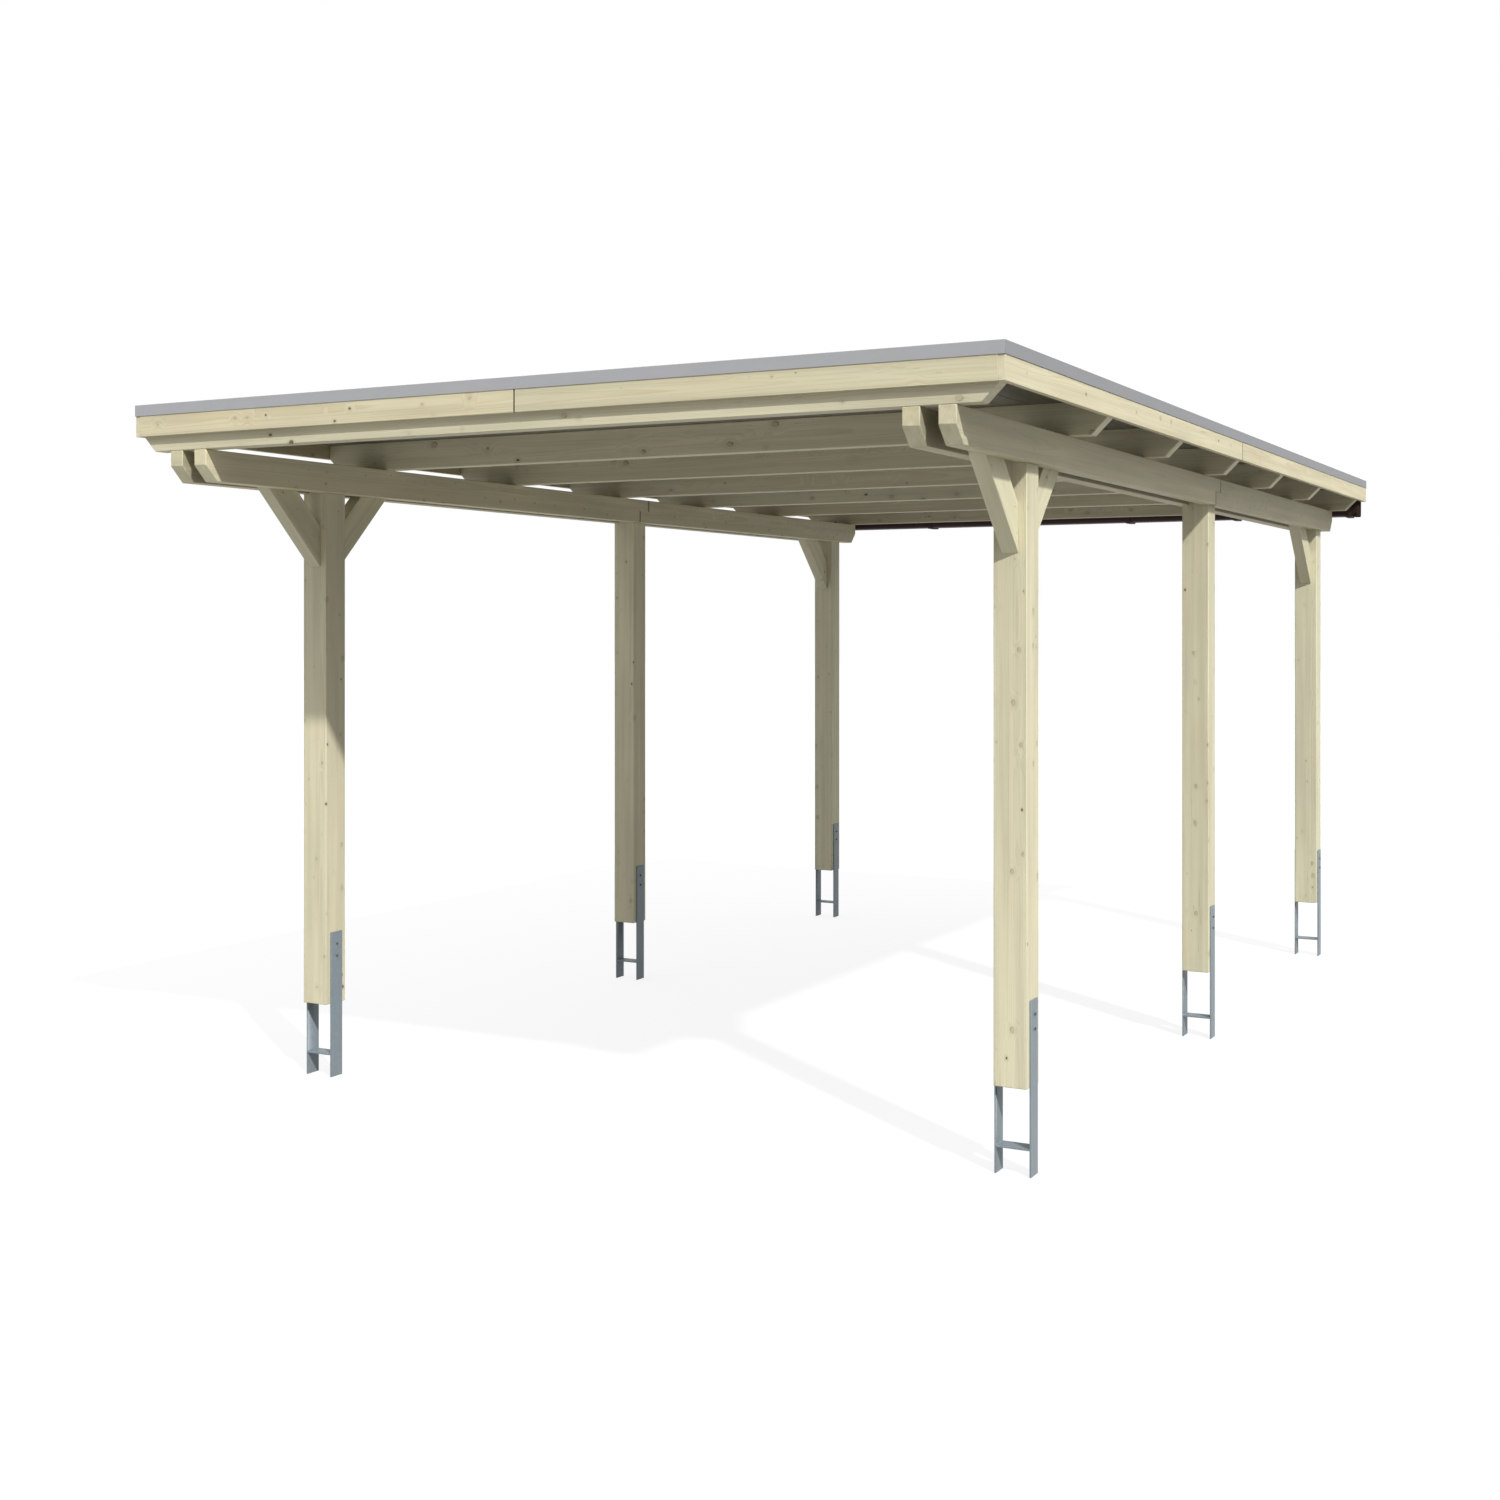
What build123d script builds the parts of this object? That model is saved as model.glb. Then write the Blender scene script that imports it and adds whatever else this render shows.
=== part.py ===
import os

from build123d import *

os.makedirs("parts", exist_ok=True)

# Plan of the carport: two rows of three posts, driven in the open at the front
row_spacing = 3040.0
bay_length = 2430.0
purlin_front_reach = 715.0
purlin_rear_reach = 182.0

# Posts: square timber, with a tongue at the top that stands between two purlins
post_side = 120.0
post_height = 2117.0
tongue_thickness = 60.0

# Steel H anchors: two flat plates beside the post and a bar between them
anchor_length = 600.0
anchor_on_wood = 297.0
anchor_width = 70.0
anchor_plate = 6.0
anchor_bar = 6.0
anchor_bar_depth = 207.0
bolt_hole = 11.0
bolt_from_top = 50.0
bolt_pitch = 50.0

# Purlins: pairs of boards on the shoulders of the posts, each in two lengths
purlin_thickness = 60.0
purlin_height = 120.0
purlin_end_upright = 60.0
lap_length = 90.0
lap_end_gap = 2.0

# Braces at 45 degrees, from the side of a post up into the gap between the purlins
brace_height = 120.0
brace_foot_drop = 306.0
brace_top_gap = 10.0

# Rafters lie across both rows, and the last is flush with the purlins' rear ends
rafter_thickness = 60.0
rafter_height = 120.0
rafter_overhang = 230.0
rafter_end_upright = 60.0
rafter_setbacks = (0.0, 1075.0, 2023.0, 2967.0, 3863.0, 4775.0)

# Roof boards, felt, fascias and the sheet metal over their top edges
deck_thickness = 19.0
deck_rear_reach = 15.0
felt_thickness = 3.0
fascia_thickness = 20.0
fascia_height = 120.0
fascia_lift = 59.0
fascia_rear_reach = 160.0
side_board_length = 3000.0
board_joint_gap = 2.0
trim_sheet = 2.0
trim_leg = 43.0
trim_air_gap = 2.0
drip_sheet = 2.0
drip_top_leg = 80.0
drip_drop = 52.0
drip_kick = 8.0

# Box gutter behind the last rafter, with its end caps and brackets
gutter_width = 130.0
gutter_height = 105.0
gutter_wall = 2.5
gutter_radius = 22.0
gutter_drop = 30.0
gutter_bead = 6.0
gutter_end_gap = 2.0
end_cap_thickness = 3.0
bracket_band = 7.0
bracket_width = 30.0
bracket_right_inset = 48.0
bracket_pitch = 652.0
bracket_screw_leg = 30.0

# Derived heights
anchor_top = anchor_length
wood_bottom = anchor_top - anchor_on_wood
shoulder = wood_bottom + post_height
purlin_top = shoulder + purlin_height
rafter_top = purlin_top + rafter_height
deck_top = rafter_top + deck_thickness
felt_top = deck_top + felt_thickness
fascia_bottom = purlin_top + fascia_lift
fascia_top = fascia_bottom + fascia_height
trim_top = fascia_top + trim_sheet
trim_inner_low = felt_top + drip_sheet

# Derived places across: every half width is measured from the centre line
row_x = row_spacing / 2
deck_half = row_x + rafter_overhang
fascia_outer = deck_half + fascia_thickness
trim_outer = fascia_outer + trim_air_gap + trim_sheet
trim_inner = deck_half - trim_sheet

# Derived places along the depth, with zero in the middle of the whole roof
purlin_length = purlin_front_reach + 2 * bay_length + post_side + purlin_rear_reach
trim_stand_off = fascia_thickness + trim_air_gap + trim_sheet
total_length = trim_stand_off + purlin_length + fascia_rear_reach
roof_front = -total_length / 2
roof_rear = total_length / 2
purlin_front = roof_front + trim_stand_off
purlin_rear = purlin_front + purlin_length
post_front = purlin_front + purlin_front_reach
fascia_front = purlin_front - fascia_thickness
deck_rear = purlin_rear + deck_rear_reach
post_faces = {
    "front": post_front,
    "mid": post_front + bay_length,
    "rear": post_front + 2 * bay_length,
}
side_signs = {"left": -1, "right": 1}


def along_x(outline, x_low, x_high):
    """Extrude an outline of (y, z) points across the carport."""
    face = Plane.YZ.offset(x_low) * Polygon(*outline, align=None)
    return extrude(face, amount=x_high - x_low, dir=(1, 0, 0))


def along_y(outline, y_low, y_high):
    """Extrude an outline of (x, z) points along the depth."""
    face = Plane.XZ.offset(-y_low) * Polygon(*outline, align=None)
    return extrude(face, amount=y_high - y_low, dir=(0, 1, 0))


def along_z(outline, z_low, z_high):
    """Extrude an outline of (x, y) points upwards."""
    face = Plane.XY.offset(z_low) * Polygon(*outline, align=None)
    return extrude(face, amount=z_high - z_low, dir=(0, 0, 1))


def block(x_low, x_high, y_low, y_high, z_low, z_high):
    """A straight board between three pairs of faces."""
    return along_z([(x_low, y_low), (x_high, y_low), (x_high, y_high), (x_low, y_high)], z_low, z_high)


def save(shape, node):
    """Write one named piece."""
    export_step(shape, "parts/" + node + ".step")


def post(x, y_face):
    """A square post whose top is halved on both sides to carry the purlins."""
    half = post_side / 2
    tongue = tongue_thickness / 2
    outline = [
        (x - half, wood_bottom),
        (x + half, wood_bottom),
        (x + half, shoulder),
        (x + tongue, shoulder),
        (x + tongue, purlin_top),
        (x - tongue, purlin_top),
        (x - tongue, shoulder),
        (x - half, shoulder),
    ]
    return along_y(outline, y_face, y_face + post_side)


def anchor(x, y_face):
    """An H of flat steel: plates on the post's two sides and a bar below the wood."""
    inner = post_side / 2
    outer = inner + anchor_plate
    y_low = y_face + (post_side - anchor_width) / 2
    y_high = y_low + anchor_width
    bar_top = wood_bottom - anchor_bar_depth
    steel = block(x - inner, x + inner, y_low, y_high, bar_top - anchor_bar, bar_top)
    steel += block(x - outer, x - inner, y_low, y_high, 0, anchor_top)
    steel += block(x + inner, x + outer, y_low, y_high, 0, anchor_top)
    for row in range(2):
        z_hole = anchor_top - bolt_from_top - row * bolt_pitch
        drill = Cylinder(bolt_hole / 2, 2 * outer + 2)
        steel -= Pos(x, y_face + post_side / 2, z_hole) * Rot(0, 90, 0) * drill
    return steel


def purlin_pair(x_low):
    """Front and rear lengths of one purlin board, half lapped over the mid post with a gap at each end face."""
    x_high = x_low + purlin_thickness
    cut = purlin_height - purlin_end_upright
    mid_height = shoulder + purlin_height / 2
    lap_centre = post_faces["mid"] + post_side / 2
    lap_low = lap_centre - lap_length / 2
    lap_high = lap_centre + lap_length / 2
    half_gap = lap_end_gap / 2
    front_outline = [
        (purlin_front, purlin_top),
        (purlin_front, shoulder + cut),
        (purlin_front + cut, shoulder),
        (lap_low - half_gap, shoulder),
        (lap_low - half_gap, mid_height),
        (lap_high - half_gap, mid_height),
        (lap_high - half_gap, purlin_top),
    ]
    rear_outline = [
        (lap_high + half_gap, purlin_top),
        (lap_high + half_gap, mid_height),
        (lap_low + half_gap, mid_height),
        (lap_low + half_gap, shoulder),
        (purlin_rear - cut, shoulder),
        (purlin_rear, shoulder + cut),
        (purlin_rear, purlin_top),
    ]
    return along_x(front_outline, x_low, x_high), along_x(rear_outline, x_low, x_high)


def brace(x, y_face, direction):
    """A 45 degree brace that rises from a post face, forwards (-1) or rearwards (+1)."""
    foot = shoulder - brace_foot_drop
    slope_height = brace_height * 2 ** 0.5
    top = purlin_top - brace_top_gap
    outline = [
        (y_face, foot),
        (y_face, foot + slope_height),
        (y_face + direction * (top - foot - slope_height), top),
        (y_face + direction * (top - foot), top),
    ]
    half = tongue_thickness / 2
    return along_x(outline, x - half, x + half)


def rafter(y_low):
    """A rafter with both ends upright at the top and cut back at 45 degrees below."""
    cut = rafter_height - rafter_end_upright
    outline = [
        (-deck_half, rafter_top),
        (-deck_half, purlin_top + cut),
        (-deck_half + cut, purlin_top),
        (deck_half - cut, purlin_top),
        (deck_half, purlin_top + cut),
        (deck_half, rafter_top),
    ]
    return along_y(outline, y_low, y_low + rafter_thickness)


def felt():
    """The roof felt, one sheet that steps up over the top leg of the drip edge."""
    step = deck_rear - drip_top_leg
    outline = [
        (purlin_front, deck_top),
        (step, deck_top),
        (step, deck_top + drip_sheet),
        (deck_rear, deck_top + drip_sheet),
        (deck_rear, felt_top + drip_sheet),
        (step, felt_top + drip_sheet),
        (step - felt_thickness, felt_top),
        (purlin_front, felt_top),
    ]
    return along_x(outline, -deck_half, deck_half)


def drip_edge():
    """Sheet metal under the felt that turns down over the deck's end into the gutter."""
    low = deck_top - drip_drop
    outline = [
        (deck_rear - drip_top_leg, deck_top),
        (deck_rear, deck_top),
        (deck_rear, low + drip_kick),
        (deck_rear + drip_kick, low),
        (deck_rear + drip_kick + drip_sheet, low),
        (deck_rear + drip_sheet, low + drip_kick),
        (deck_rear + drip_sheet, deck_top + drip_sheet),
        (deck_rear - drip_top_leg, deck_top + drip_sheet),
    ]
    return along_x(outline, -deck_half, deck_half)


def trim_channel(outer, inner, side):
    """Outline of the folded trim in (distance from the centre, height)."""
    return [
        (side * outer, trim_top - trim_leg),
        (side * outer, trim_top),
        (side * inner, trim_top),
        (side * inner, trim_inner_low),
        (side * (inner + trim_sheet), trim_inner_low),
        (side * (inner + trim_sheet), fascia_top),
        (side * (outer - trim_sheet), fascia_top),
        (side * (outer - trim_sheet), trim_top - trim_leg),
    ]


def side_trim(side):
    """The trim over one side fascia, mitred at the front corner."""
    mitre = trim_outer - trim_inner
    plan = [
        (side * trim_outer, roof_front),
        (side * trim_inner, roof_front + mitre),
        (side * trim_inner, roof_rear),
        (side * trim_outer, roof_rear),
    ]
    channel = along_y(trim_channel(trim_outer, trim_inner, side), roof_front, roof_rear)
    return channel & along_z(plan, felt_top - trim_leg, trim_top)


def front_trim():
    """The trim over the front fascia, mitred at both corners."""
    mitre = trim_outer - trim_inner
    plan = [
        (-trim_outer, roof_front),
        (trim_outer, roof_front),
        (trim_inner, roof_front + mitre),
        (-trim_inner, roof_front + mitre),
    ]
    outline = trim_channel(-roof_front, -roof_front - mitre, -1)
    channel = along_x(outline, -trim_outer, trim_outer)
    return channel & along_z(plan, felt_top - trim_leg, trim_top)


def u_section(y_low, y_high, z_low, z_high, radius):
    """A face in the (y, z) plane whose two lower corners are round."""
    outline = Polygon((y_low, z_low), (y_high, z_low), (y_high, z_high), (y_low, z_high), align=None)
    lower_corners = outline.vertices().sort_by(Axis.Y)[:2]
    return fillet(lower_corners, radius)


gutter_front = purlin_rear + bracket_band
gutter_rear = gutter_front + gutter_width
gutter_bottom = purlin_top - gutter_drop
gutter_top = gutter_bottom + gutter_height
gutter_half = deck_half - gutter_end_gap - end_cap_thickness


def gutter():
    """A box gutter: an open U section with a bead along the top of each wall."""
    shell = u_section(gutter_front, gutter_rear, gutter_bottom, gutter_top, gutter_radius)
    shell -= u_section(
        gutter_front + gutter_wall,
        gutter_rear - gutter_wall,
        gutter_bottom + gutter_wall,
        gutter_top,
        gutter_radius - gutter_wall,
    )
    for y_low in (gutter_front, gutter_rear - gutter_bead):
        bead = Polygon(
            (y_low, gutter_top - gutter_bead),
            (y_low + gutter_bead, gutter_top - gutter_bead),
            (y_low + gutter_bead, gutter_top),
            (y_low, gutter_top),
            align=None,
        )
        shell += bead
    return extrude(Plane.YZ.offset(-gutter_half) * shell, amount=2 * gutter_half)


def gutter_end_cap(side):
    """A flat cap over one end of the gutter."""
    face = u_section(gutter_front, gutter_rear, gutter_bottom, gutter_top, gutter_radius)
    x_low = gutter_half if side > 0 else -gutter_half - end_cap_thickness
    return extrude(Plane.YZ.offset(x_low) * face, amount=end_cap_thickness)


def gutter_bracket(x):
    """A band under the gutter, screwed to the last rafter's rear face."""
    band = u_section(
        purlin_rear,
        gutter_rear + bracket_band,
        gutter_bottom - bracket_band,
        gutter_top,
        gutter_radius + bracket_band,
    )
    band -= u_section(gutter_front, gutter_rear, gutter_bottom, gutter_top, gutter_radius)
    band += Polygon(
        (purlin_rear, gutter_top),
        (gutter_front, gutter_top),
        (gutter_front, gutter_top + bracket_screw_leg),
        (purlin_rear, gutter_top + bracket_screw_leg),
        align=None,
    )
    return extrude(Plane.YZ.offset(x - bracket_width / 2) * band, amount=bracket_width)


# Posts and their anchors
for side_name, sign in side_signs.items():
    for place, y_face in post_faces.items():
        save(post(sign * row_x, y_face), "post_" + place + "_" + side_name)
        save(anchor(sign * row_x, y_face), "anchor_" + place + "_" + side_name)

# Purlins, outer and inner board of each row
for side_name, sign in side_signs.items():
    for layer, offset in (("outer", 1), ("inner", -1)):
        centre = sign * (row_x + offset * (tongue_thickness + purlin_thickness) / 2)
        front_length, rear_length = purlin_pair(centre - purlin_thickness / 2)
        save(front_length, "purlin_" + side_name + "_" + layer + "_front")
        save(rear_length, "purlin_" + side_name + "_" + layer + "_rear")

# Braces: both ways on the front posts, only forwards on the rear posts
for side_name, sign in side_signs.items():
    front_face = post_faces["front"]
    rear_face = post_faces["rear"]
    save(brace(sign * row_x, front_face, -1), "brace_front_" + side_name + "_forward")
    save(brace(sign * row_x, front_face + post_side, 1), "brace_front_" + side_name + "_rearward")
    save(brace(sign * row_x, rear_face, -1), "brace_rear_" + side_name + "_forward")

# Rafters, numbered from the front
last_setback = purlin_length - rafter_thickness
for number, setback in enumerate(rafter_setbacks + (last_setback,), start=1):
    save(rafter(purlin_front + setback), "rafter_" + str(number))

# Roof covering
save(block(-deck_half, deck_half, purlin_front, deck_rear, rafter_top, deck_top), "roof_boards")
save(felt(), "roof_felt")
save(drip_edge(), "eaves_drip_edge")

# Fascias: two lengths on each of three sides, the side boards over the front boards' ends
half_joint = board_joint_gap / 2
side_joint = fascia_front + side_board_length + half_joint
for side_name, sign in side_signs.items():
    x_low, x_high = sorted((sign * deck_half, sign * fascia_outer))
    front_low, front_high = sorted((sign * half_joint, sign * deck_half))
    save(
        block(front_low, front_high, fascia_front, purlin_front, fascia_bottom, fascia_top),
        "fascia_front_" + side_name,
    )
    save(
        block(x_low, x_high, fascia_front, side_joint - half_joint, fascia_bottom, fascia_top),
        "fascia_" + side_name + "_front",
    )
    save(
        block(x_low, x_high, side_joint + half_joint, roof_rear, fascia_bottom, fascia_top),
        "fascia_" + side_name + "_rear",
    )
    save(side_trim(sign), "trim_" + side_name)
save(front_trim(), "trim_front")

# Gutter
save(gutter(), "gutter")
save(Compound(children=[gutter_end_cap(-1), gutter_end_cap(1)]), "gutter_end_caps")
first_bracket = gutter_half - bracket_right_inset
bracket_run = first_bracket + gutter_half - bracket_width / 2
bracket_count = 1 + int(bracket_run // bracket_pitch)
brackets = [gutter_bracket(first_bracket - index * bracket_pitch) for index in range(bracket_count)]
save(Compound(children=brackets), "gutter_brackets")
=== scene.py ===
import functools
import math
import random

import bmesh
import bpy
from mathutils import Euler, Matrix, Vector


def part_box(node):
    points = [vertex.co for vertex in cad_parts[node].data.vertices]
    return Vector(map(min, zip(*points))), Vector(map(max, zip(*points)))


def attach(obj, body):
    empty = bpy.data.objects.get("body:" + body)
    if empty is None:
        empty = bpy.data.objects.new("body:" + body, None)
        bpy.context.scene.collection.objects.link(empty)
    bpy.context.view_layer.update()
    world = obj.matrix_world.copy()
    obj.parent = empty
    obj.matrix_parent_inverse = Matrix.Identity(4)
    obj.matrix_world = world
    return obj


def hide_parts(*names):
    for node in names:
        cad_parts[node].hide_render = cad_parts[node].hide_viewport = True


bl_info = {
    "name": "Timber carport",
    "version": (1, 0, 0),
    "blender": (4, 5, 0),
    "location": "3D View > Sidebar > Carport",
    "description": "Planed spruce, sheet metal, roof felt, gutter and fixings of a flat roofed carport",
    "category": "Object",
}

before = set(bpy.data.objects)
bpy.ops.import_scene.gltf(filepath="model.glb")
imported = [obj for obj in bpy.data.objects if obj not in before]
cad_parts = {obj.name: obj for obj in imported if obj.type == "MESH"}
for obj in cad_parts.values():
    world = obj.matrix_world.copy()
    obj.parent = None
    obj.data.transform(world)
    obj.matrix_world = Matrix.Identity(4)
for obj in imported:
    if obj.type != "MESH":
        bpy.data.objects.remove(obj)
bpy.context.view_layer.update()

BODY = "root"
MM = 0.001

# Sides and ends with the way that each side looks, and the way from each length to its joint
SIDES = ("left", "right")
WAYS = (-1, 1)
ENDS = ("front", "rear")
JOINED = (1, -1)
PLACES = ("front", "mid", "rear")
RAFTERS = sorted(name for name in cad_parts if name.startswith("rafter_"))

# Painted light and shade: how much lighter or darker than its finish each timber is painted, as a share, for
# light that the lamps give it too little or too much of
PAINTED_LIGHT_SHARES = {
    "post_front_left": -0.05,
    "post_mid_left": 0.09,
    "post_rear_left": -0.03,
    "post_front_right": 0.03,
    "purlin_left_inner_front": 0.17,
    "purlin_left_inner_rear": 0.10,
    "brace_front_left_forward": -0.08,
    "brace_front_right_forward": 0.16,
    "brace_front_right_rearward": 0.08,
    "brace_rear_right_forward": 0.05,
    "fascia_front_left": -0.03,
    "fascia_right_front": 0.03,
    "fascia_right_rear": 0.05,
}
TONE_SHARE = 0.045

# Share of the knots that are dead, and how much painted shade darkens a side that faces a narrow gap
DEAD_KNOTS = 0.42
GAP_PAINTED_SHADE = 0.36

# A beam's distance to the heart of its log as a share of a post's, how much that distance differs
# between timbers, how far the heart turns from straight sideways in radians, and the length of stem
# in metres that the timbers are cut from
BEAM_PITH = 0.8
PITH_SPREAD = (0.85, 1.25)
PITH_TURN = 0.45
STEM_LENGTH = 60.0

# Levels of a round screw head with its small cup, and of a washer: height and reach over its radius
ROUND_HEAD = ((0.0, 1.0), (0.12, 1.0), (0.2, 0.86), (0.2, 0.46), (0.06, 0.38))
WASHER = ((0.0, 1.0), (0.13, 1.0), (0.176, 0.93))


# Settings that a user would change

def length_setting(name, description, default):
    """A size in metres with a sensible lowest value."""
    return bpy.props.FloatProperty(
        name=name, description=description, default=default, min=0.0, unit="LENGTH", precision=4)


def colour_setting(name, description, default):
    """A colour in linear values."""
    return bpy.props.FloatVectorProperty(
        name=name, description=description, default=default, size=3, min=0.0, max=1.0, subtype="COLOR")


def share_setting(name, description, default, high=1.0):
    """A plain number from nought."""
    return bpy.props.FloatProperty(name=name, description=description, default=default, min=0.0, max=high)


class TimberSettings(bpy.types.PropertyGroup):
    """Planed spruce of the posts, purlins, braces, rafters and fascias."""
    arris: length_setting("Arris", "Width of the rounding along each sawn edge", 0.0028)
    early: colour_setting("Early wood", "The pale part of each growth ring", (0.590, 0.561, 0.403))
    late: colour_setting("Late wood", "The darker line of each growth ring", (0.528, 0.484, 0.321))
    knot: colour_setting("Knot", "The middle of a knot", (0.110, 0.077, 0.045))
    ring_width: length_setting("Ring width", "Mean width of a growth ring", 0.0042)
    knot_spacing: length_setting("Knot spacing", "Mean distance between knots in the wood", 0.045)
    knot_radius: length_setting("Knot radius", "Radius of the largest knots", 0.0070)
    knot_share: share_setting("Knot share", "Share of the places that hold a knot", 0.72)
    joint_cut: length_setting("Joint cut", "How far a fascia board's end is cut back at a joint", 0.0015)
    swell: length_setting("Swell", "How far the fascias reach into the trim's air gap", 0.0017)
    fascia_screw: length_setting("Fascia screw", "Radius of a fascia's screw heads", 0.0021)
    pith_distance: length_setting("Pith distance", "From the middle of a post to the heart of its log", 0.105)


class DeckSettings(bpy.types.PropertyGroup):
    """Tongue and groove boards that carry the felt."""
    rows: bpy.props.IntProperty(
        name="Rows", description="Boards side by side across the roof", default=36, min=1)
    groove: length_setting("Groove", "Chamfer of each board's edge, half the width of the V groove", 0.003)
    # Painted shade: the boards' colours are darkened well below pale spruce for the shade on the roof's
    # underside
    board: colour_setting("Board", "Pale wood of the boards", (0.178, 0.166, 0.123))
    board_late: colour_setting("Board rings", "Ring lines of the boards", (0.143, 0.125, 0.083))


class FeltSettings(bpy.types.PropertyGroup):
    """Mineral roofing felt in strips that lap towards the gutter."""
    strip: length_setting("Strip", "Visible width of one strip of felt", 0.92)
    lap: length_setting("Lap", "Width over which a strip lies on the one below", 0.08)
    light_grain: colour_setting("Light granules", "Pale slate granules", (0.140, 0.150, 0.158))
    dark_grain: colour_setting("Dark granules", "Dark slate granules", (0.044, 0.048, 0.053))
    bitumen: colour_setting("Bitumen", "Bare bitumen along each lap", (0.016, 0.016, 0.017))


class MetalSettings(bpy.types.PropertyGroup):
    """Sheet metal trim, galvanised anchors and dark screws."""
    trim: colour_setting("Trim", "Coated grey sheet", (0.332, 0.334, 0.341))
    zinc: colour_setting("Zinc", "Dull hot dip zinc", (0.204, 0.239, 0.260))
    # Partly painted shade: the heads' zinc is far darker than the anchors', standing in for the shade in the
    # anchors' screw holes
    screw: colour_setting("Screw", "Dark zinc of the screw heads", (0.088, 0.097, 0.108))
    pale_screw: colour_setting("Pale screw", "Pale coating of the fascias' screws", (0.520, 0.490, 0.370))
    fold: length_setting("Fold", "Radius of the trim's folded edges", 0.0009)
    head_flats: length_setting("Screw head", "Width of a hexagon head over its flats", 0.008)
    washer: length_setting("Washer", "Radius of the washer under a hexagon head", 0.0068)
    washer_sheet: length_setting("Washer sheet", "Thickness of the washer", 0.0012)


class GutterSettings(bpy.types.PropertyGroup):
    """Dark brown plastic gutter."""
    # Painted light and shade: one plastic in truth, paler on the trough for the shade under the roof and
    # blacker on the end caps against the sun on them
    plastic: colour_setting("Plastic", "Dark brown plastic of gutter and brackets", (0.042, 0.024, 0.024))
    cap_plastic: colour_setting("Cap plastic", "Blacker plastic of the end caps", (0.030, 0.019, 0.015))
    bead: length_setting("Bead", "Radius of the bead along each top edge", 0.004)
    cap_reach: length_setting("Cap reach", "How far an end cap's rim reaches over the gutter", 0.022)
    cap_rim: length_setting("Cap rim", "Thickness of an end cap's rim", 0.002)
    strap_screw: length_setting("Strap screw", "Radius of a bracket's screw heads", 0.0036)
    strap_screw_drop: length_setting("Strap screw drop", "From a bracket's top down to its screws", 0.013)


class StageSettings(bpy.types.PropertyGroup):
    """Camera, sun, sky and floor."""
    place: bpy.props.FloatVectorProperty(
        name="Camera place", description="Where the camera stands", default=(3.7088, -8.3002, 1.8589),
        size=3, subtype="TRANSLATION", unit="LENGTH")
    yaw: bpy.props.FloatProperty(
        name="Camera yaw", description="Turn to the left of straight ahead", default=math.radians(27.93),
        subtype="ANGLE", unit="ROTATION")
    lens: bpy.props.FloatProperty(
        name="Lens", description="Focal length in mm on a 36 mm sensor", default=44.887)
    horizon: bpy.props.FloatProperty(
        name="Horizon row", description="Pixel row of the horizon in a picture of 1500 rows", default=628.7)
    sun_from: bpy.props.FloatVectorProperty(
        name="Sun from", description="Direction towards the sun", default=(0.893, -0.673, 1.0),
        size=3, subtype="DIRECTION")
    sun: share_setting("Sun", "Strength of the sun lamp", 3.74, high=20.0)
    low_sky: share_setting("Low sky", "Strength of the soft light from near the horizon", 0.44, high=5.0)
    high_sky: share_setting("High sky", "Strength of the soft light from overhead", 1.39, high=5.0)
    sky_tint: colour_setting("Sky tint", "Colour of the soft light", (0.965, 0.98, 1.0))
    ground: share_setting("Ground", "Share of the light that the floor throws back up", 0.335)
    right_ground: share_setting("Ground at the right", "The same share to the right of the carport", 0.205)


SETTINGS = {
    "carport_timber": TimberSettings,
    "carport_deck": DeckSettings,
    "carport_felt": FeltSettings,
    "carport_metal": MetalSettings,
    "carport_gutter": GutterSettings,
    "carport_stage": StageSettings,
}


# Node trees

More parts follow.
